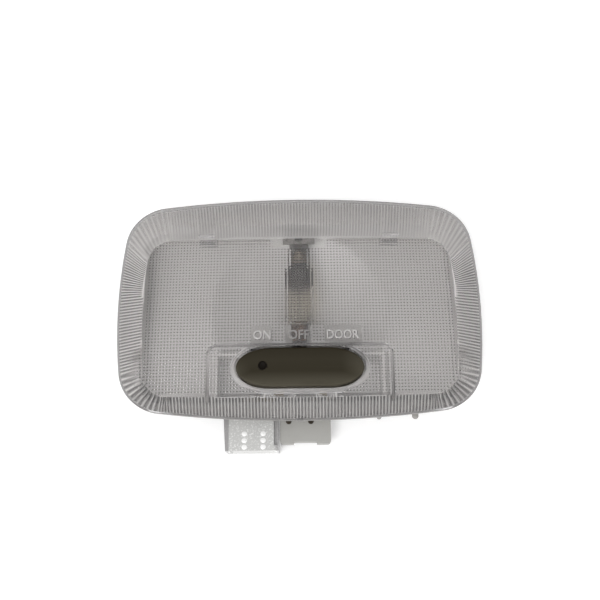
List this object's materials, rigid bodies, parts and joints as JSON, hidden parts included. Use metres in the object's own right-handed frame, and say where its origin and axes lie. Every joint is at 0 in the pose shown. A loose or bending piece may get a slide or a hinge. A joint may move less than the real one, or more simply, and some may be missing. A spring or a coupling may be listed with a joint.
{
  "type": "car dome light",
  "caption": "Car interior dome light: clear ribbed lens clipped over a white reflector housing, festoon bulb inside, oval rocker switch, connector at its lower edge.",
  "frame": {"origin": "centre of the lens rim's flat back, which seats on the roof trim", "axes": "+Z out of the lens, +X to its right and +Y to its upper edge; the lamp lies on its back"},
  "size_m": [0.1492, 0.1052, 0.0328],
  "materials": {
    "clear_plastic": "clear, polished outside, with fine ribs and a pillow grid inside",
    "switch_plastic": "olive grey, fine grain",
    "carrier_plastic": "dark grey, plain",
    "white_plastic": "off-white, lightly soiled round the bulb",
    "shroud_plastic": "pale, pebbled and slightly glossy",
    "block_plastic": "light grey",
    "brass": "stamped sheet",
    "tinned_steel": "tinned sheet, slightly dull",
    "spring_steel": "drawn wire",
    "rivet_steel": "dark, oxidised",
    "bulb_glass": "clear, smoked at both ends"
  },
  "bodies": {
    "lamp": {"lens": "clear_plastic", "switch_carrier": "carrier_plastic", "on_terminal": "brass", "door_terminal": "brass", "lower_bulb_contact": "brass", "feed_strap": "tinned_steel", "bulb_glass": "bulb_glass", "bulb_cap_upper": "tinned_steel", "bulb_cap_lower": "tinned_steel", "bulb_filament": "spring_steel", "housing": "white_plastic", "connector_shroud": "shroud_plastic", "terminal_block": "block_plastic", "terminal_rivets": "rivet_steel"},
    "rocker": {"rocker": "switch_plastic", "plunger_spring": "spring_steel"},
    "plunger": {"contact_plunger": "brass"},
    "seesaw": {"rocking_contact": "brass"}
  },
  "joints": [
    {"name": "rocker_tilt", "type": "hinge", "parent": "lamp", "child": "rocker", "pos_m": [0, -0.0282, 0.005], "axis": [0, 1, 0], "range_deg": [-6, 6]},
    {"name": "seesaw_tilt", "type": "hinge", "parent": "lamp", "child": "seesaw", "pos_m": [0, -0.0282, -0.0062], "axis": [0, 1, 0], "range_deg": [-5, 5]},
    {"name": "plunger_press", "type": "slide", "parent": "rocker", "child": "plunger", "axis": [0, 0, 1], "range_m": [0, 0.0008], "stiffness_N_per_m": 400, "springref_m": -0.002, "deforming": ["plunger_spring"]}
  ],
  "couplings": [
    {"joint": "seesaw_tilt", "follows": "rocker_tilt", "ratio": -0.83333}
  ]
}
